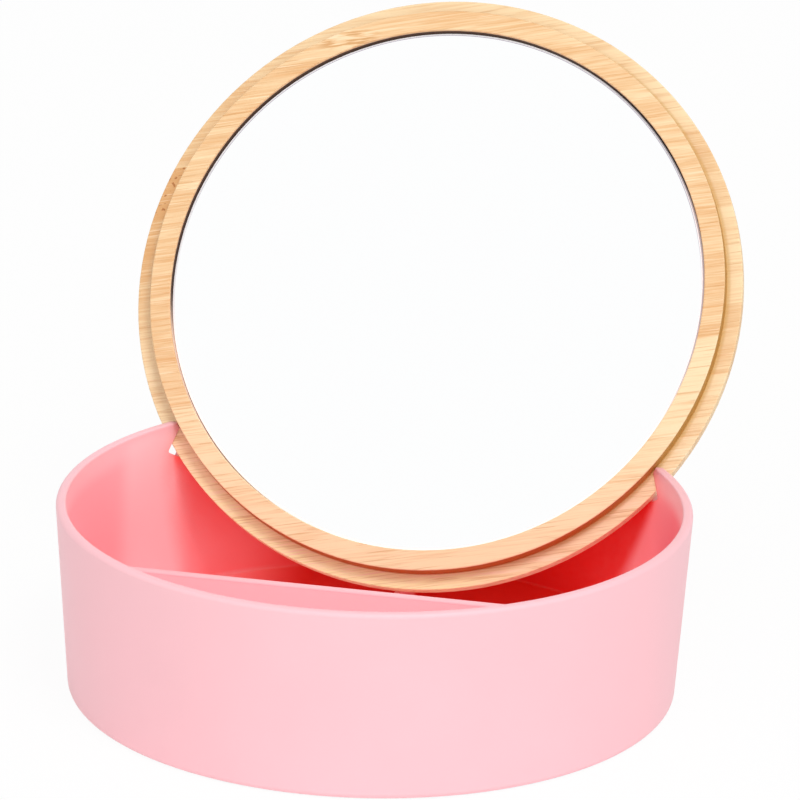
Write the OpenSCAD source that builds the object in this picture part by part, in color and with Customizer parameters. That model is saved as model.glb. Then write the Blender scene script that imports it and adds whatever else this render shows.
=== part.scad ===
// Round makeup organizer: a moulded box with three compartments, and a lift-off bamboo lid
// with a mirror in it. The lid closes the box, or stands in two slanted slots in the rim.
// Millimetres, +Z up, origin on the table under the centre of the box. The lid is shown
// standing and leans back towards +Y.

/* [Box] */
// Outer diameter at the rim
box_d = 200; // [170:1:230]
// Height from the table to the rim
box_h = 61; // [54:0.1:72]
// Slope of the wall from upright, so that the box narrows downwards, in degrees
wall_draft = 3.65; // [1:0.05:6]
// Thickness of the wall
wall_t = 3.2; // [2.6:0.1:4]
// Rounding of the rim's outer edge
rim_out_r = 1.4; // [0.6:0.1:1.6]
// Rounding of the rim's inner edge
rim_in_r = 0.8; // [0.4:0.1:1]
// Rounding where the wall runs into the base
foot_r = 2; // [1:0.1:6]
// Width of the flat ring that the box stands on
foot_w = 2.6; // [2:0.1:6]
// Height of the compartment floor above the table
floor_z = 5; // [4:0.1:12]
// Thickness of the floor
floor_t = 3; // [2:0.1:4]
// Rounding between the floor and the wall
floor_r = 0.8; // [0.4:0.1:3]

/* [Partition] */
// Distance of the cross wall from the centre, towards the back
divider_y = 0; // [-20:1:12]
// Thickness of the cross wall
divider_t = 3.2; // [2:0.1:4]
// Height of the cross wall above the floor
divider_h = 25.2; // [16:0.2:32]
// Thickness of the stem rib behind the cross wall
stem_t = 2; // [1.6:0.1:3]
// Height of the stem rib above the floor, which the lid's lower edge rests on
stem_h = 12.4; // [6:0.1:16]
// Rounding along the top edges of the cross wall and the stem rib
partition_top_r = 0.7; // [0.3:0.1:0.8]

/* [Lid slots] */
// Lean of the standing lid from upright, in degrees
lean = 33.3; // [22:0.1:38]
// Clearance in front of and behind the lid's flange in each slot
slot_gap = 0.35; // [0.3:0.05:0.8]
// Clearance under the lid's edge, in the slots and on the stem rib
seat_gap = 0.4; // [0.3:0.05:0.8]
// Depth to which the wall's top corner in front of a slot is relieved for the lid's step
relief_d = 2; // [0:0.1:2.2]
// Clearance round the step in that relief
relief_gap = 0.45; // [0.4:0.05:1]
// Rounding of the corners at the bottom of a slot
slot_r = 0.8; // [0.4:0.1:1.4]
// Rounding of the rim where a slot opens through it
slot_mouth_r = 1; // [0.5:0.1:1.6]

/* [Lid] */
// How far the lid's edge stands out past the rim
lid_overhang = 0.2; // [0:0.1:2]
// Thickness of the flange that rests on the rim or stands in the slots
flange_t = 6.2; // [5:0.1:9]
// Rounding of the edge round the lid's outer face
edge_r = 2.8; // [1:0.1:4]
// Thickness of the step that drops inside the rim
step_t = 5.4; // [3:0.1:7]
// Clearance between the step and the inside of the rim when the box is closed
step_gap = 1.8; // [1:0.05:4]
// Width of the bamboo ring between the step's edge and the mirror
ring_w = 6.7; // [4:0.05:20]
// Rounding of the small edges of the bamboo
break_r = 0.4; // [0.2:0.1:0.8]

/* [Mirror] */
// Thickness of the mirror glass
mirror_t = 3; // [2:0.1:4]
// Depth of the mirror's face below the face of the bamboo ring
mirror_setback = 2.1; // [0.6:0.1:3]
// Clearance round the mirror in its recess
mirror_gap = 0.4; // [0.2:0.1:1]
// Ground chamfer round the mirror's front edge
mirror_chamfer = 0.7; // [0.3:0.1:1.2]

/* [Mirror tape] */
// Thickness of the foam tape behind the mirror
tape_t = 0.8; // [0.5:0.1:1.5]
// Width of a tape strip
tape_w = 20; // [10:1:30]
// Length of a tape strip
tape_l = 120; // [60:1:140]
// Distance from one tape strip to the next
tape_pitch = 45; // [32:1:55]

/* [Hidden] */
$fn = 96;

pink = [0.98, 0.68, 0.71];
bamboo = [0.93, 0.75, 0.53];
silver = [0.86, 0.9, 0.92];
foam = [0.95, 0.95, 0.93];

// Straight pieces that stand for each rounding
arc_n = 8;
// Length by which a cut runs past the face that it opens
past = 2;

// Points along a rounding about centre c, from angle a0 to angle a1
function arc(c, r, a0, a1) =
    [for (i = [0 : arc_n]) let(a = a0 + (a1 - a0) * i / arc_n) c + r * [cos(a), sin(a)]];

box_r = box_d / 2;
rim_in = box_r - wall_t;

// Outer and inner radius of the wall at height z
function out_r(z) = box_r - (box_h - z) * tan(wall_draft);
function in_r(z) = out_r(z) - wall_t;

// Centres of the roundings in the half section of the box
foot_c = [out_r(foot_r) - foot_r / cos(wall_draft), foot_r];
rim_out_c = [out_r(box_h - rim_out_r) - rim_out_r / cos(wall_draft), box_h - rim_out_r];
rim_in_c = [in_r(box_h - rim_in_r) + rim_in_r / cos(wall_draft), box_h - rim_in_r];
floor_c = [in_r(floor_z + floor_r) - floor_r / cos(wall_draft), floor_z + floor_r];
// Recess under the floor, inside the ring that the box stands on
recess_r = foot_c.x - foot_w;
recess_h = floor_z - floor_t;

// Radii and depths of the lid, whose own frame has the flange's front face at zero
lid_r = box_r + lid_overhang;
step_r = rim_in - step_gap;
opening_r = step_r - ring_w;
recess_d = mirror_setback + mirror_t + tape_t;
mirror_r = opening_r - mirror_gap;
edge_c = [lid_r - edge_r, flange_t - edge_r];

// The lid's lowest point rests on the stem rib, which sets the height of its centre
stem_top = floor_z + stem_h;
lid_z = stem_top + seat_gap + edge_r + edge_c.x * cos(lean) + edge_c.y * sin(lean);
// Distance along the leaning lid from the rim up to its centre
rise = (lid_z - box_h) / cos(lean);

// The relief for the step in the wall in front of the slots sets the lid's place front to back
relief_r = step_r + relief_gap;
corner_s = rise + rim_in_r / cos(lean);
corner_x = sqrt(relief_r * relief_r - corner_s * corner_s) - relief_d;
corner_y = sqrt(pow(in_r(box_h - rim_in_r), 2) - corner_x * corner_x);
lid_rim_y = corner_y + rim_in_r * tan(lean);
lid_y = lid_rim_y + rise * sin(lean);

// Radius of the flange at depth n behind its front face
function flange_r(n) = n <= edge_c.y ? lid_r : edge_c.x + sqrt(edge_r * edge_r - pow(n - edge_c.y, 2));
// Y and Z of a lid point at distance s below the lid's centre and depth n behind the front face
function lid_point(s, n) = [lid_y - s * sin(lean) + n * cos(lean), lid_z - s * cos(lean) - n * sin(lean)];
// Distance below the centre at which the flange's edge crosses the inside of the wall, by iteration
function wall_x2(q) = pow(in_r(q.y), 2) - q.x * q.x;
function crossing(n, s, turns) =
    turns == 0 ? s : crossing(n, sqrt(pow(flange_r(n), 2) - wall_x2(lid_point(s, n))), turns - 1);
depth_steps = 16;
iterations = 14;
slot_s = max([for (i = [0 : depth_steps]) crossing(i / depth_steps * flange_t, rise, iterations)]) + seat_gap;

// Half section of the box: foot ring, wall, rim, floor and the recess under it
module box_section() {
    polygon(concat(
        [[0, recess_h], [recess_r, recess_h], [recess_r, 0]],
        arc(foot_c, foot_r, -90, -wall_draft),
        arc(rim_out_c, rim_out_r, -wall_draft, 90),
        arc(rim_in_c, rim_in_r, 90, 180 - wall_draft),
        arc(floor_c, floor_r, -wall_draft, -90),
        [[0, floor_z]]
    ));
}

// Section of a partition wall, rooted in the floor and rounded along the top
module partition_section(t, h) {
    r = partition_top_r;
    polygon(concat(
        [[-t / 2, -floor_t / 2], [t / 2, -floor_t / 2]],
        arc([t / 2 - r, h - r], r, 0, 90),
        arc([r - t / 2, h - r], r, 90, 180)
    ));
}

// Cone that the partition's ends are trimmed to, halfway into the wall
module partition_limit() {
    translate([0, 0, recess_h])
        cylinder(h = box_h - recess_h, r1 = in_r(recess_h) + wall_t / 2, r2 = rim_in + wall_t / 2);
}

module cross_wall() {
    translate([-box_r, divider_y, floor_z])
        rotate([90, 0, 90])
            linear_extrude(box_d) partition_section(divider_t, divider_h);
}

module stem_rib() {
    translate([0, box_r, floor_z])
        rotate([90, 0, 0])
            linear_extrude(box_r - divider_y) partition_section(stem_t, stem_h);
}

// Both lid slots as one slanted cut across the box, rounded at the bottom and at the rim
module slots() {
    front_n = -slot_gap;
    back_n = flange_t + slot_gap;
    front_c = [lid_rim_y + front_n / cos(lean) - slot_mouth_r / tan(45 - lean / 2), box_h - slot_mouth_r];
    back_c = [lid_rim_y + back_n / cos(lean) + slot_mouth_r / tan(45 + lean / 2), box_h - slot_mouth_r];
    translate([-box_d, 0, 0])
        rotate([90, 0, 90])
            linear_extrude(2 * box_d)
                polygon(concat(
                    arc(lid_point(slot_s - slot_r, front_n + slot_r), slot_r, 180 - lean, 270 - lean),
                    arc(lid_point(slot_s - slot_r, back_n - slot_r), slot_r, 270 - lean, 360 - lean),
                    arc(back_c, slot_mouth_r, 180 - lean, 90),
                    [[back_c.x, box_h + past], [front_c.x, box_h + past]],
                    arc(front_c, slot_mouth_r, 90, -lean)
                ));
}

// Room for the lid's step, which takes off the wall's top corner in front of each slot
module step_relief() {
    stand()
        translate([0, 0, -step_t - seat_gap])
            cylinder(h = step_t + seat_gap, r = relief_r);
}

module box() {
    color(pink)
        difference() {
            union() {
                rotate_extrude() box_section();
                intersection() {
                    union() {
                        cross_wall();
                        stem_rib();
                    }
                    partition_limit();
                }
            }
            slots();
            step_relief();
        }
}

// Carries a piece from the lid's own frame, with its axis along Z, to where the lid stands
module stand() {
    translate([0, lid_y, lid_z])
        rotate([-90 - lean, 0, 0])
            children();
}

// Half section of the lid: flange, step and the recess for the mirror
module lid_section() {
    polygon(concat(
        [[0, recess_d - step_t], [opening_r, recess_d - step_t]],
        arc([opening_r + break_r, break_r - step_t], break_r, 180, 270),
        arc([step_r - break_r, break_r - step_t], break_r, 270, 360),
        [[step_r, 0]],
        arc([lid_r - break_r, break_r], break_r, 270, 360),
        arc(edge_c, edge_r, 0, 90),
        [[0, flange_t]]
    ));
}

module lid_board() {
    color(bamboo)
        stand()
            rotate_extrude() lid_section();
}

module mirror_disc() {
    c = mirror_chamfer;
    color(silver)
        stand()
            translate([0, 0, mirror_setback - step_t])
                rotate_extrude()
                    polygon([[0, 0], [mirror_r - c, 0], [mirror_r, c], [mirror_r, mirror_t], [0, mirror_t]]);
}

// Tape strip number i, counted downwards from the middle of the mirror
module tape_strip(i) {
    color(foam)
        stand()
            translate([-tape_l / 2, i * tape_pitch - tape_w / 2, mirror_setback + mirror_t - step_t])
                cube([tape_l, tape_w, tape_t]);
}

box();
lid_board();
mirror_disc();  // mirror
tape_strip(-1);  // tape_strip_upper
tape_strip(0);  // tape_strip_middle
tape_strip(1);  // tape_strip_lower
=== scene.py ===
import math

import bpy
from mathutils import Matrix, Vector

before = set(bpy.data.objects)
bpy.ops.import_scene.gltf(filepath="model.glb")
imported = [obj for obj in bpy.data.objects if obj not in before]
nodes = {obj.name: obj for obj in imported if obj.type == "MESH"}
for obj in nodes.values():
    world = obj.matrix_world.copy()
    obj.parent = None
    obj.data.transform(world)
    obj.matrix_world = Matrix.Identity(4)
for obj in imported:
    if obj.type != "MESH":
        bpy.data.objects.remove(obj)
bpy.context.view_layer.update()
print("frame loaded:", ", ".join(sorted(nodes)))

scene = bpy.context.scene
scene.view_settings.view_transform = "Standard"

black = (0, 0, 0)
white = (1, 1, 1)
noiseSpan = (0.3, 0.7)   # where most values of a noise texture lie


# small helpers for node trees

def feed(tree, node, values):
    for key, value in values.items():
        if isinstance(value, bpy.types.NodeSocket):
            tree.links.new(value, node.inputs[key])
        else:
            node.inputs[key].default_value = value
    return node


def put(tree, kind, values=None, **props):
    made = tree.nodes.new("ShaderNode" + kind)
    for key, value in props.items():
        setattr(made, key, value)
    return feed(tree, made, values or {})


def place(tree, group, values):
    return put(tree, "Group", values, node_tree=group).outputs


def calc(tree, operation, *values, clamp=False):
    return put(tree, "Math", dict(enumerate(values)), operation=operation, use_clamp=clamp).outputs[0]


def times(tree, product, *others):
    for value in others:
        product = calc(tree, "MULTIPLY", product, value)
    return product


def span(tree, value, low, high, toLow=0.0, toHigh=1.0, smooth=True):
    kind = "SMOOTHSTEP" if smooth else "LINEAR"
    picks = {"Value": value, "From Min": low, "From Max": high, "To Min": toLow, "To Max": toHigh}
    return put(tree, "MapRange", picks, interpolation_type=kind).outputs[0]


def bandMask(tree, value, low, high, soft):
    rise = span(tree, value, low - soft, low)
    fall = span(tree, value, high, high + soft, 1.0, 0.0)
    return calc(tree, "MULTIPLY", rise, fall)


def near(middle, offsets):
    return [middle + offset for offset in offsets]


def mixValue(tree, factor, low, high):
    return put(tree, "Mix", {0: factor, 2: low, 3: high}, data_type="FLOAT").outputs[0]


def asColor(value):
    return value if isinstance(value, bpy.types.NodeSocket) else (*value, 1)


def mixColor(tree, factor, low, high):
    picks = {0: factor, 6: asColor(low), 7: asColor(high)}
    return put(tree, "Mix", picks, data_type="RGBA").outputs[2]


def noise(tree, vector, scale, detail, rough=0.55):
    picks = {"Vector": vector, "Scale": scale, "Detail": detail, "Roughness": rough}
    return put(tree, "TexNoise", picks).outputs["Fac"]


def bumped(tree, height, strength, depth):
    return put(tree, "Bump", {"Strength": strength, "Distance": depth, "Height": height}).outputs[0]


def stretch(tree, vector, factors):
    return put(tree, "VectorMath", {0: vector, 1: factors}, operation="MULTIPLY").outputs[0]


def minus(tree, vector, point):
    return put(tree, "VectorMath", {0: vector, 1: point}, operation="SUBTRACT").outputs[0]


def length(tree, vector):
    return put(tree, "VectorMath", {0: vector}, operation="LENGTH").outputs["Value"]


def turned(tree, vector, degrees, axis):
    picks = {"Vector": vector, "Angle": math.radians(degrees)}
    return put(tree, "VectorRotate", picks, rotation_type=axis).outputs[0]


def split(tree, vector):
    return put(tree, "SeparateXYZ", {0: vector}).outputs


def newGroup(name, inputs, outputs):
    group = bpy.data.node_groups.new(name, "ShaderNodeTree")
    for side, sockets in (("INPUT", inputs), ("OUTPUT", outputs)):
        for socketName, kind in sockets.items():
            group.interface.new_socket(socketName, in_out=side, socket_type="NodeSocket" + kind)
    return group, group.nodes.new("NodeGroupInput").outputs, group.nodes.new("NodeGroupOutput")


def emptyTree(owner):
    owner.use_nodes = True
    owner.node_tree.nodes.clear()
    return owner.node_tree


def newMaterial(name):
    material = bpy.data.materials.new(name)
    tree = emptyTree(material)
    shader = put(tree, "BsdfPrincipled")
    put(tree, "OutputMaterial", {"Surface": shader.outputs[0]}, is_active_output=True)
    where = put(tree, "TexCoord").outputs["Object"]
    return material, tree, shader, where


def paint(names, material):
    for name in names:
        mesh = nodes[name].data
        mesh.materials.clear()
        mesh.materials.append(material)


# the lid's own axes: x to the right, y into its depth from the flange's face, z up its face

lidPlace = {"centre": (0, 0.0860964, 0.1038743), "lean": 33.3}


def makeLidSpace():
    outputs = {"Local": "Vector", "Radius": "Float", "Depth": "Float"}
    group, given, end = newGroup("lidSpace", {"Vector": "Vector"}, outputs)
    moved = minus(group, given["Vector"], lidPlace["centre"])
    upright = turned(group, moved, lidPlace["lean"], "X_AXIS")
    radius = length(group, stretch(group, upright, (1, 0, 1)))
    feed(group, end, {"Local": upright, "Radius": radius, "Depth": split(group, upright)["Y"]})
    return group


# slight unevenness that every finish has: a broad drift of tone, and fine bumps

mottleDetail = {"drift": (2.0, 0.55), "bumps": (2.0, 0.6)}   # detail and roughness of each noise


def makeMottle():
    inputs = {"Vector": "Vector", "Broad": "Float", "Fine": "Float"}
    group, given, end = newGroup("mottle", inputs, {"Drift": "Float", "Bumps": "Float"})
    drift = noise(group, given["Vector"], given["Broad"], *mottleDetail["drift"])
    bumps = noise(group, given["Vector"], given["Fine"], *mottleDetail["bumps"])
    feed(group, end, {"Drift": drift, "Bumps": bumps})
    return group


lidSpace = makeLidSpace()
mottle = makeMottle()
print("node groups ready")


# the pink moulding
# in the settings, two numbers say where a mask starts and where it is full, and four add its
# values there; a band is its two edges and how soft they are; all in metres

pinkBox = {
    "outside": (0.990, 0.560, 0.605),
    "shadedWallEnds": (0.985, 0.300, 0.360),    # painted shade: deeper pink on the inner wall, far right and far left
    "partition": (0.990, 0.650, 0.690),   # painted light: paler pink on the front of the low partition, and on the left wall behind it
    "hollowShade": (0.880, 0.040, 0.035),      # painted shade: deep red where the walls stand close and light only comes off pink
    "paintedGlow": (0.230, 0.000, 0.000),        # painted glow: red given off in the hollow, standing in for light bounced between the pink walls
    "paintedFaintGlow": (0.080, 0.000, 0.000),   # painted glow, faint, in the rest of the inside
    "paintedRightGlow": (0.200, 0.000, 0.000),   # painted glow, a little more on the right
    "rimRadius": 0.0984,      # middle of the wall at the rim
    "draft": 3.65,            # degrees
    "height": 0.0610,
    "floorTop": 0.0050,
    "inward": (-0.0004, 0.0010),       # the inside starts at the wall's middle
    "offWall": (0.0020, 0.0026),       # and here it is clear of the wall
    "belowRim": (0.0002, 0.0040),
    "underRim": (0.0040, 0.0100),      # the strong paint starts lower
    "aboveFloor": (-0.0020, -0.0010),  # from the floor's top
    "onFloor": (0.0020, 0.0005),
    "reach": 0.070,           # how far a hollow looks for walls
    "looks": 12,
    "wholeView": (-0.020, 0.020, 1.00, 1.02),   # what counts as an open view, left and right
    "closing": (0.46, 0.68),  # share of the view that is shut off, from pink to the painted shade
    "behindLid": (0.0515, 0.0575),   # the painted shade lies behind the standing lid, in its shadow
    "backTurn": -0.06,        # its front edge turns by this share of x
    "slantAbout": 0.035,      # its ends lean about this height
    "slant": (0.020, 0.050, 0.10, 0.40),   # how much they lean, left and right
    "litSide": (-0.062, -0.034),     # its left end takes light off the wall beside it
    "litWall": (0.012, 0.035, 0.36, 0.62),   # share of red left on that wall, low and high
    "litFloor": 0.05,         # and on the floor
    "litFloorShift": 0.003,
    "rightEnd": (0.073, 0.089),
    "leftEnd": (-0.082, -0.095, 0.00, 0.42),
    "leftWall": (-0.0885, -0.0780, 0.0040),
    "leftWallBack": (0.015, 0.035, 0.0, 0.8),
    "frontFace": (-0.0020, -0.0014, 0.0003),     # front of the partition, in y
    "frontHeight": (0.0060, 0.0292, 0.0004),     # and in z
    "glowLeft": (1.00, 0.25),        # share of the glow, at the lit end and past it
    "glowRight": (0.030, 0.060, 0.00, 0.30),     # more of it on the right
    "glowBand": (0.068, 0.076, 0.012),
    "skin": {"Broad": 22.0, "Fine": 2600.0},
    "tone": (0.985, 1.015),
    "roughness": (0.40, 0.50),
    "bump": 0.05,
    "bumpDepth": 0.0002,
    "refraction": 1.49,
}


def makePink():
    material, tree, shader, where = newMaterial("pinkPlastic")
    s = pinkBox
    x, y, z = split(tree, where)
    radius = length(tree, stretch(tree, where, (1, 1, 0)))
    # the inside of the box, and the part of it further under the rim
    drop = calc(tree, "SUBTRACT", s["height"], z)
    taper = -math.tan(math.radians(s["draft"]))
    middle = calc(tree, "MULTIPLY_ADD", drop, taper, s["rimRadius"])
    fromWall = calc(tree, "SUBTRACT", middle, radius)
    inward = span(tree, fromWall, *s["inward"])
    above = span(tree, z, *near(s["floorTop"], s["aboveFloor"]))
    deep = times(tree, inward, above, span(tree, drop, *s["belowRim"]))
    underRim = times(tree, deep, span(tree, drop, *s["underRim"]))
    onFloor = span(tree, z, *near(s["floorTop"], s["onFloor"]))
    # painted shade and shadow: how far the hollow behind the standing lid is shut in, and where the lid
    # shades it
    around = put(tree, "AmbientOcclusion", {"Distance": s["reach"]}, samples=s["looks"]).outputs["AO"]
    closed = calc(tree, "SUBTRACT", span(tree, x, *s["wholeView"]), around)
    back = calc(tree, "MULTIPLY_ADD", x, s["backTurn"], y)
    raised = calc(tree, "SUBTRACT", z, s["slantAbout"])
    back = calc(tree, "MULTIPLY_ADD", raised, span(tree, x, *s["slant"]), back)
    behind = times(tree, span(tree, back, *s["behindLid"]), underRim)
    paintedShadeMask = times(tree, span(tree, closed, *s["closing"], smooth=False), behind)
    # less of the red at its lit left end
    onWall = span(tree, z, *s["litWall"])
    leftShare = span(tree, onFloor, 0.0, 1.0, onWall, s["litFloor"])
    fromLeft = calc(tree, "MULTIPLY_ADD", onFloor, s["litFloorShift"], x)
    deeper = span(tree, fromLeft, *s["litSide"], leftShare, 1.0)
    # painted shade on the inner wall's far ends, and painted light on the partition's front and the left
    # wall behind it
    rightEnd = span(tree, x, *s["rightEnd"], smooth=False)
    ends = calc(tree, "MAXIMUM", rightEnd, span(tree, x, *s["leftEnd"]))
    pink = mixColor(tree, times(tree, ends, underRim), s["outside"], s["shadedWallEnds"])
    # painted light: paler pink on the left wall behind the partition and on the partition's front
    leftWall = times(tree, bandMask(tree, x, *s["leftWall"]), deep, span(tree, y, *s["leftWallBack"]))
    pink = mixColor(tree, leftWall, pink, s["partition"])
    front = times(tree, bandMask(tree, y, *s["frontFace"]), span(tree, fromWall, *s["offWall"]),
                  bandMask(tree, z, *s["frontHeight"]))
    pink = mixColor(tree, front, pink, s["partition"])
    # painted shade: the hollow's deep red
    colour = mixColor(tree, times(tree, paintedShadeMask, deeper), pink, s["hollowShade"])
    # painted glow, strong in the hollow and faint elsewhere inside
    red = span(tree, x, *s["litSide"], *s["glowLeft"])
    red = calc(tree, "ADD", red, span(tree, x, *s["glowRight"]))
    inside = mixColor(tree, bandMask(tree, x, *s["glowBand"]), s["paintedFaintGlow"], s["paintedRightGlow"])
    faint = mixColor(tree, deep, black, inside)
    paintedGlow = mixColor(tree, paintedShadeMask, faint, mixColor(tree, red, black, s["paintedGlow"]))
    # a satin skin
    drift, bumps = place(tree, mottle, {"Vector": where, **s["skin"]})
    tone = span(tree, drift, *noiseSpan, *s["tone"], smooth=False)
    toned = put(tree, "VectorMath", {0: colour, "Scale": tone}, operation="SCALE").outputs[0]
    feed(tree, shader, {
        "Base Color": toned,
        "Roughness": span(tree, drift, *noiseSpan, *s["roughness"], smooth=False),
        "Normal": bumped(tree, bumps, s["bump"], s["bumpDepth"]),
        "Emission Color": paintedGlow,
        "Emission Strength": 1.0,
        "IOR": s["refraction"],
    })
    return material


paint(["box"], makePink())
print("pink box painted")


# the bamboo lid, with masks and bands given as for the box, in the lid's own axes

bambooLid = {
    "grainAngle": 13.0,       # rise of the fibres to the right, degrees
    "pale": (0.925, 0.715, 0.440),
    "warm": (0.740, 0.410, 0.175),
    "low": (1.000, 0.900, 0.500),          # painted light: paler, in place of pale along the flange's lower edge, against the step's shadow
    "fibre": (0.600, 0.290, 0.095),
    "glint": (1.000, 0.780, 0.530),
    "speckle": (0.420, 0.150, 0.040),
    "stepSideAndShade": (0.500, 0.245, 0.052),     # the turned side of the step: browner end grain, with painted shade
    # painted red bounce light and deeper shade, low on the step's side
    "stepSideRedBounce": (0.520, 0.120, 0.010),
    "shadeBesideStep": (0.660, 0.400, 0.115),   # painted shade: the flange close to the step, on the right
    # scorch with painted shade on the recess's upper part; routed wood painted pale below, painted light
    "scorchedAndShaded": (0.060, 0.021, 0.004),
    "routedAndLit": (0.800, 0.600, 0.470),
    "faceDepth": -0.0054,     # the step's face, in front of the flange's
    "flangeDepth": -0.0002,
    "flangeSoft": 0.0008,
    "backSkin": 0.0030,       # the recess and the flange's front end before this depth
    "openingRadius": 0.0883,
    "stepRadius": 0.0950,
    # laminated strips: place across the board in metres, tone from warm to pale; the flange's lowest strip
    # is also painted light
    "stripReach": 0.110,
    "stepStrips": [
        (-0.110, 1.00), (-0.080, 0.90), (-0.056, 0.94), (-0.030, 0.36), (-0.006, 0.40),
        (0.016, 0.42), (0.038, 0.48), (0.061, 0.38), (0.079, 0.44),
    ],
    "flangeStrips": [
        (-0.110, 1.00), (-0.072, 0.78), (-0.0406, 0.54), (-0.0179, 0.94), (-0.0119, 0.86),
        (0.0130, 1.10), (0.0148, 0.80), (0.0158, 0.52), (0.0422, 0.92), (0.0541, 0.84),
    ],
    # the flange is paler below on the left and beside the step there, painted light against the step's
    # shadow, and darker up that side, most of all on one strip
    "lowerLeft": {"x": (0.010, -0.050), "z": (-0.010, -0.060), "tone": 0.30},
    "upperLeft": {"x": (-0.050, -0.080), "z": (-0.040, -0.010), "tone": -0.40},
    "darkStrip": {"x": (-0.045, -0.065), "across": (0.0379, 0.0541, 0.0005), "tone": -0.60},
    "litNearStep": {
        "x": (0.000, -0.050), "z": (0.040, 0.000),
        "radius": (0.0030, 0.0003), "tone": 0.40,
    },
    "litLowEdge": {"x": (0.050, 0.015), "z": (-0.055, -0.085)},
    # fibre noises: waves per metre along and across the grain, detail, roughness
    "waves": {
        "broad": (14, 210, 2.0),
        "fine": (42, 1500, 3.0, 0.6),
        "dash": (55, 1900, 1.0),
        "glint": (60, 1700, 1.0),
        "cut": (150, 1250, 1.0),
        "streak": (48, 1900, 2.0),
    },
    "broadTone": 0.48,
    "fineTone": 0.38,
    "darkMarks": {
        "dash": (0.60, 0.74, 0.0, 0.50),
        "cut": (0.50, 0.40, 0.0, 0.75),
        "streak": (0.48, 0.36, 0.0, 0.42),
    },
    "paleMarks": {
        "glint": (0.62, 0.76, 0.0, 0.60),
        "cut": (0.52, 0.64, 0.0, 0.65),
        "streak": (0.51, 0.64, 0.0, 0.90),
    },
    "knuckle": (-0.0410, 0, 0.0817),   # a joint of the cane shows near the top, left of the middle
    "knuckleSize": (0.0130, 0.0042),   # along and across the grain
    "knuckleCore": 0.5,       # share of that size where it is full
    "streakedBelow": (-0.020, -0.055),
    "speckNoise": (680.0, 1.0),
    "specks": (0.57, 0.66, 0.0, 0.85),
    "side": {
        "radius": (-0.00015, 0.00015), "radiusSoft": 0.0001,
        "start": 0.0004, "end": -0.0001, "soft": 0.0002,
    },
    "sideLow": (-0.045, -0.085),
    "shadeBeside": {"radius": (0.0001, 0.0005), "soft": 0.0012, "x": (0.020, 0.060, 0.0, 0.55)},
    "recess": {"radius": (0.0002, 0.0001), "start": 0.0012, "soft": 0.0004},
    "scorchAndShadeTurn": -0.35,      # the darker part of the recess, scorch and painted shade, is turned to the left
    "scorchAndShadeUp": (0.002, 0.024),
    "roughness": (0.42, 0.58),
    "shine": 0.25,            # share of a plain gloss
    "bump": 0.25,
    "bumpDepth": 0.00015,
    "dashDepth": (0.60, 0.72, 0.0, 0.8),
}


def stripTones(tree, across, strips):
    reach = bambooLid["stripReach"]
    ramp = put(tree, "ValToRGB", {0: span(tree, across, -reach, reach, smooth=False)})
    ramp.color_ramp.interpolation = "CONSTANT"
    stops = ramp.color_ramp.elements
    while len(stops) < len(strips):
        stops.new(0.5)
    for stop, (position, tone) in zip(stops, strips):
        stop.position = (position + reach) / (2 * reach)
        stop.color = (tone, tone, tone, 1)
    return put(tree, "RGBToBW", {0: ramp.outputs[0]}).outputs[0]


def grainNoise(tree, along, lengthwise, crosswise, *detail):
    return noise(tree, stretch(tree, along, (lengthwise, crosswise, crosswise)), 1.0, *detail)


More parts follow.
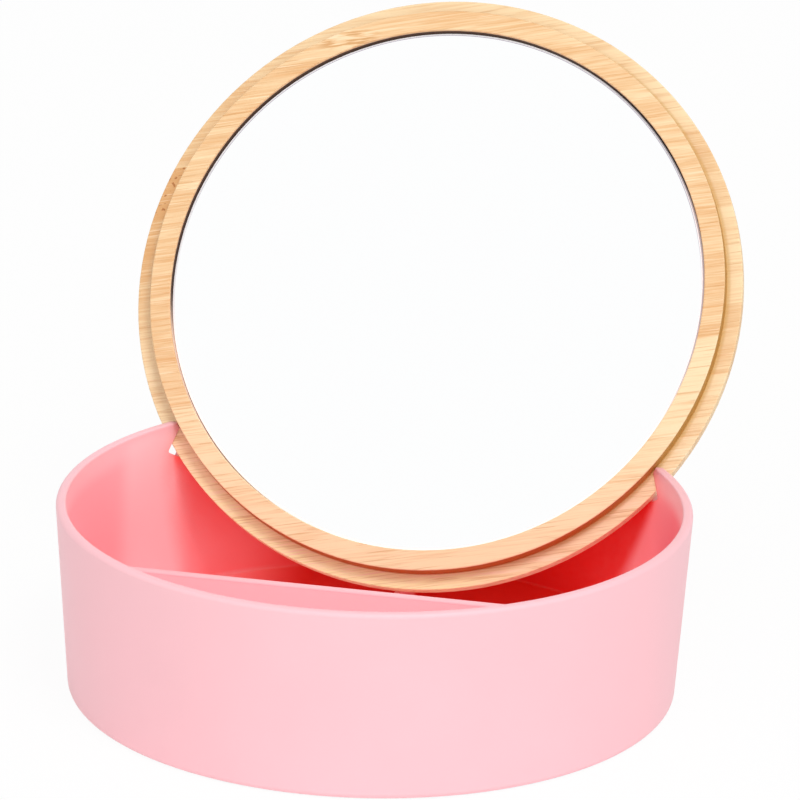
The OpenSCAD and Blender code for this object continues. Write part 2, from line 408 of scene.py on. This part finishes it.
def makeBamboo():
    material, tree, shader, where = newMaterial("bambooBoard")
    s = bambooLid
    local, radius, depth = place(tree, lidSpace, {"Vector": where})
    axes = split(tree, local)
    x, z = axes["X"], axes["Z"]
    along = turned(tree, local, s["grainAngle"], "Y_AXIS")
    across = split(tree, along)["Z"]
    wave = {name: grainNoise(tree, along, *picks) for name, picks in s["waves"].items()}
    onFlange = bandMask(tree, depth, s["flangeDepth"], s["backSkin"], s["flangeSoft"])
    # tone of the strips, with the flange's paler places, which are painted light, and its darker places
    lowerLeft, upperLeft = (times(tree, span(tree, x, *spot["x"]), span(tree, z, *spot["z"]))
                            for spot in (s["lowerLeft"], s["upperLeft"]))
    spot = s["darkStrip"]
    darkStrip = times(tree, span(tree, x, *spot["x"]), bandMask(tree, across, *spot["across"]))
    flangeTone = stripTones(tree, across, s["flangeStrips"])
    for name, mask in (("lowerLeft", lowerLeft), ("upperLeft", upperLeft), ("darkStrip", darkStrip)):
        flangeTone = calc(tree, "MULTIPLY_ADD", mask, s[name]["tone"], flangeTone)
    # painted light: paler beside the step on the left, against its shadow
    spot = s["litNearStep"]
    litNearStep = times(tree, span(tree, radius, *near(s["stepRadius"], spot["radius"])),
                      span(tree, x, *spot["x"], 0.0, spot["tone"]), span(tree, z, *spot["z"]))
    flangeTone = calc(tree, "ADD", flangeTone, litNearStep)
    strip = mixValue(tree, onFlange, stripTones(tree, across, s["stepStrips"]), flangeTone)
    # broad and fine streaks along the grain
    broad = span(tree, wave["broad"], *noiseSpan, -0.5, 0.5, smooth=False)
    fine = span(tree, wave["fine"], *noiseSpan, -s["fineTone"], s["fineTone"], smooth=False)
    tone = calc(tree, "MULTIPLY_ADD", broad, s["broadTone"], strip)
    tone = calc(tree, "ADD", tone, fine, clamp=True)
    # painted light: the flange's lower edge is paler, against the step's shadow
    spot = s["litLowEdge"]
    litLowEdge = times(tree, span(tree, z, *spot["z"]), onFlange, span(tree, x, *spot["x"]))
    colour = mixColor(tree, tone, s["warm"], mixColor(tree, litLowEdge, s["pale"], s["low"]))
    # fibres are cut short and crowd together at the knuckle
    fromKnuckle = turned(tree, minus(tree, local, s["knuckle"]), s["grainAngle"], "Y_AXIS")
    longWay, shortWay = s["knuckleSize"]
    away = length(tree, stretch(tree, fromKnuckle, (1 / longWay, 0, 1 / shortWay)))
    offFlange = calc(tree, "SUBTRACT", 1.0, onFlange)
    knuckle = times(tree, span(tree, away, 1.0, s["knuckleCore"]), offFlange)
    # dark dashes and pale glints all over, cut fibres at the knuckle, streaks on the lower flange
    lower = times(tree, span(tree, z, *s["streakedBelow"]), onFlange)
    within = {"cut": knuckle, "streak": lower}
    for tint, marks in (("fibre", s["darkMarks"]), ("glint", s["paleMarks"])):
        share = 0.0
        for name, levels in marks.items():
            mark = span(tree, wave[name], *levels)
            if name in within:
                mark = times(tree, mark, within[name])
            share = calc(tree, "MAXIMUM", share, mark)
        colour = mixColor(tree, share, colour, s[tint])
    # vessel ends show as brown specks on the dark strip at the flange's upper left
    speck = span(tree, noise(tree, local, *s["speckNoise"]), *s["specks"])
    colour = mixColor(tree, times(tree, speck, onFlange, darkStrip), colour, s["speckle"])
    # the turned side of the step is browner end grain with painted shade, and below it painted red bounce
    # light and deeper shade
    spot = s["side"]
    sideOn = times(tree, bandMask(tree, radius, *near(s["stepRadius"], spot["radius"]), spot["radiusSoft"]),
                   bandMask(tree, depth, s["faceDepth"] + spot["start"], spot["end"], spot["soft"]))
    side = mixColor(tree, span(tree, z, *s["sideLow"]), s["stepSideAndShade"], s["stepSideRedBounce"])
    colour = mixColor(tree, sideOn, colour, side)
    # painted shade on the flange close to the step, on the right
    spot = s["shadeBeside"]
    shadeBeside = times(tree, bandMask(tree, radius, *near(s["stepRadius"], spot["radius"]), spot["soft"]),
                   onFlange, span(tree, x, *spot["x"]))
    colour = mixColor(tree, shadeBeside, colour, s["shadeBesideStep"])
    # the routed recess is darker round its upper part, scorch and painted shade, and painted pale below,
    # painted light
    spot = s["recess"]
    recess = times(tree, span(tree, radius, *near(s["openingRadius"], spot["radius"])),
                   bandMask(tree, depth, s["faceDepth"] + spot["start"], s["backSkin"], spot["soft"]))
    upper = span(tree, calc(tree, "MULTIPLY_ADD", x, s["scorchAndShadeTurn"], z), *s["scorchAndShadeUp"])
    colour = mixColor(tree, recess, colour, mixColor(tree, upper, s["routedAndLit"], s["scorchedAndShaded"]))
    height = calc(tree, "SUBTRACT", wave["fine"], span(tree, wave["dash"], *s["dashDepth"]))
    feed(tree, shader, {
        "Base Color": colour,
        "Roughness": span(tree, wave["fine"], *noiseSpan, *s["roughness"], smooth=False),
        "Normal": bumped(tree, height, s["bump"], s["bumpDepth"]),
        "Specular IOR Level": s["shine"],
    })
    return material


paint(["lid_board"], makeBamboo())
print("bamboo lid painted")


# the mirror

mirrorDisc = {
    "silver": (0.985, 0.988, 0.990),
    "ground": (0.88, 0.87, 0.89),        # the chamfer
    "paintedEdgeGlow": (0.420, 0.410, 0.420),   # painted glow, for light that leaves the glass at its edge
    "arrisReflection": (0.50, 0.46, 0.54),         # painted reflection: grey line where the chamfer meets the face
    "shadeEdge": (0.62, 0.57, 0.62),     # outer half of the chamfer on the right
    "radius": 0.0879,
    "chamfer": 0.0007,
    "chamferSoft": 0.00005,
    "arrisWidth": 0.00022,
    "arrisSoft": 0.00004,
    "arrisUp": (0.000, 0.045),
    "shadeFrom": (-0.00050, -0.00040),   # from the rim of the glass
    "shadeRight": (0.030, 0.065),
    "shadeUp": (-0.045, -0.015),
    "shadeGlow": -0.7,        # share of the glow that is missing there
    "haze": 18.0,
    "roughness": (0.010, 0.022),
    "groundRoughness": 0.30,
}


def makeMirror():
    material, tree, shader, where = newMaterial("mirrorGlass")
    s = mirrorDisc
    lid = place(tree, lidSpace, {"Vector": where})
    radius, axes = lid["Radius"], split(tree, lid["Local"])
    inner = s["radius"] - s["chamfer"]
    edge = span(tree, radius, inner - s["chamferSoft"], inner + s["chamferSoft"])
    colour = mixColor(tree, edge, s["silver"], s["ground"])
    # painted reflection: a grey line where the chamfer meets the face, on its upper part
    arrisReflection = times(tree, bandMask(tree, radius, inner - s["arrisWidth"], inner, s["arrisSoft"]),
                  span(tree, axes["Z"], *s["arrisUp"]))
    colour = mixColor(tree, arrisReflection, colour, s["arrisReflection"])
    outer = times(tree, span(tree, radius, *near(s["radius"], s["shadeFrom"])),
                  span(tree, axes["X"], *s["shadeRight"]), span(tree, axes["Z"], *s["shadeUp"]))
    colour = mixColor(tree, outer, colour, s["shadeEdge"])
    haze = place(tree, mottle, {"Vector": where, "Broad": s["haze"]})["Drift"]
    clear = span(tree, haze, *noiseSpan, *s["roughness"], smooth=False)
    # painted glow on the chamfer, less where its painted shade lies
    lit = calc(tree, "MULTIPLY_ADD", outer, s["shadeGlow"], edge, clamp=True)
    feed(tree, shader, {
        "Base Color": colour,
        "Roughness": mixValue(tree, edge, clear, s["groundRoughness"]),
        "Metallic": calc(tree, "SUBTRACT", 1.0, edge),
        "Emission Color": mixColor(tree, lit, black, s["paintedEdgeGlow"]),
        "Emission Strength": 1.0,
    })
    return material


paint(["mirror"], makeMirror())
print("mirror painted")


# the foam tape behind the mirror

foamTape = {
    "white": (0.86, 0.86, 0.83),
    "shade": (0.74, 0.74, 0.71),
    "cells": {"Broad": 120.0, "Fine": 3500.0},
    "roughness": 0.9,
    "bump": 0.4,
    "bumpDepth": 0.0003,
}


def makeFoam():
    material, tree, shader, where = newMaterial("foamTape")
    s = foamTape
    drift, bumps = place(tree, mottle, {"Vector": where, **s["cells"]})
    feed(tree, shader, {
        "Base Color": mixColor(tree, drift, s["shade"], s["white"]),
        "Normal": bumped(tree, bumps, s["bump"], s["bumpDepth"]),
        "Roughness": s["roughness"],
    })
    return material


paint(["tape_strip_upper", "tape_strip_middle", "tape_strip_lower"], makeFoam())
print("foam tape painted")


# floor, light and camera

studio = {
    "floorSize": 6.0,
    "floorDrop": 0.0002,      # the floor lies this far under the foot
    "floorColour": (0.93, 0.93, 0.93),
    "floorLift": 0.94,        # share of plain white that the camera sees in the floor
    "fill": 0.45,             # all-round light
    "front": 0.78,            # broad light from the front, on top of it
    "frontFrom": (13.0, 20.0),   # azimuth and elevation, degrees
    "keyFrom": (38.0, 60.0),
    "keyDistance": 2.4,
    "keySize": 0.80,
    "keyLevel": 0.31,         # share of a plain level that the key adds face on
    "aim": (0, 0, 0.06),      # the point that the key and the camera stand round
}


def direction(azimuth, elevation):
    a, e = math.radians(azimuth), math.radians(elevation)
    return Vector((math.sin(a) * math.cos(e), -math.cos(a) * math.cos(e), math.sin(e)))


def seenDirect(tree):
    path = put(tree, "LightPath")
    seen = calc(tree, "MAXIMUM", path.outputs["Is Camera Ray"], path.outputs["Is Glossy Ray"])
    return calc(tree, "MAXIMUM", seen, path.outputs["Is Transmission Ray"])


def mixShader(tree, factor, low, high):
    return put(tree, "MixShader", {0: factor, 1: low.outputs[0], 2: high.outputs[0]})


def makeFloor():
    half = studio["floorSize"] / 2
    mesh = bpy.data.meshes.new("floor")
    corners = [(-half, -half, 0), (half, -half, 0), (half, half, 0), (-half, half, 0)]
    mesh.from_pydata(corners, [], [(0, 1, 2, 3)])
    floor = bpy.data.objects.new("floor", mesh)
    floor.location.z = -studio["floorDrop"]
    scene.collection.objects.link(floor)
    material = bpy.data.materials.new("paleFloor")
    tree = emptyTree(material)
    matte = put(tree, "BsdfDiffuse", {"Color": asColor(studio["floorColour"])})
    bright = put(tree, "Emission", {"Color": asColor(white), "Strength": 1.0})
    lift = calc(tree, "MULTIPLY", seenDirect(tree), studio["floorLift"])
    surface = mixShader(tree, lift, matte, bright)
    fromBelow = put(tree, "NewGeometry").outputs["Backfacing"]
    openBelow = mixShader(tree, fromBelow, surface, put(tree, "BsdfTransparent"))
    put(tree, "OutputMaterial", {"Surface": openBelow.outputs[0]})
    mesh.materials.append(material)


def makeWorld():
    world = bpy.data.worlds.new("studio")
    tree = emptyTree(world)
    scene.world = world
    heading = put(tree, "TexCoord").outputs["Generated"]
    front = direction(*studio["frontFrom"])
    facing = put(tree, "VectorMath", {0: heading, 1: front}, operation="DOT_PRODUCT").outputs["Value"]
    ahead = calc(tree, "MAXIMUM", facing, 0.0)
    level = calc(tree, "MULTIPLY_ADD", ahead, studio["front"], studio["fill"])
    light = put(tree, "Background", {"Color": asColor(white), "Strength": level})
    backdrop = put(tree, "Background", {"Color": asColor(white), "Strength": 1.0})
    both = mixShader(tree, seenDirect(tree), light, backdrop)
    put(tree, "OutputWorld", {"Surface": both.outputs[0]})


def makeKey():
    lamp = bpy.data.lights.new("key", "AREA")
    lamp.size = studio["keySize"]
    lamp.energy = studio["keyLevel"] * math.pi ** 2 * studio["keyDistance"] ** 2
    key = bpy.data.objects.new("key", lamp)
    towards = direction(*studio["keyFrom"])
    key.location = towards * studio["keyDistance"] + Vector(studio["aim"])
    key.rotation_mode = "QUATERNION"
    key.rotation_quaternion = (-towards).to_track_quat("-Z", "Y")
    scene.collection.objects.link(key)


view = {
    "azimuth": 12.776, "elevation": 19.808, "distance": 1.620247,
    "pan": -0.2566, "tilt": 1.1537, "roll": -1.1721,
    "lens": 232.204, "sensor": 36.0,
    "clip": (0.05, 50.0),
}


def makeCamera():
    towards = direction(view["azimuth"], view["elevation"])
    ahead = -towards
    right = ahead.cross(Vector((0, 0, 1))).normalized()
    up = right.cross(ahead)
    turn = Matrix.Rotation(math.radians(view["pan"]), 3, up)
    ahead, right = turn @ ahead, turn @ right
    nod = Matrix.Rotation(math.radians(view["tilt"]), 3, right)
    ahead, up = nod @ ahead, nod @ up
    roll = Matrix.Rotation(math.radians(view["roll"]), 3, ahead)
    right, up = roll @ right, roll @ up
    data = bpy.data.cameras.new("camera")
    data.sensor_width = view["sensor"]
    data.lens = view["lens"]
    data.clip_start, data.clip_end = view["clip"]
    camera = bpy.data.objects.new("camera", data)
    facing = Matrix((right, up, -ahead)).transposed()
    stand = Vector(studio["aim"]) + towards * view["distance"]
    camera.matrix_world = Matrix.Translation(stand) @ facing.to_4x4()
    scene.collection.objects.link(camera)
    scene.camera = camera


makeFloor()
makeWorld()
makeKey()
makeCamera()
print("studio ready")
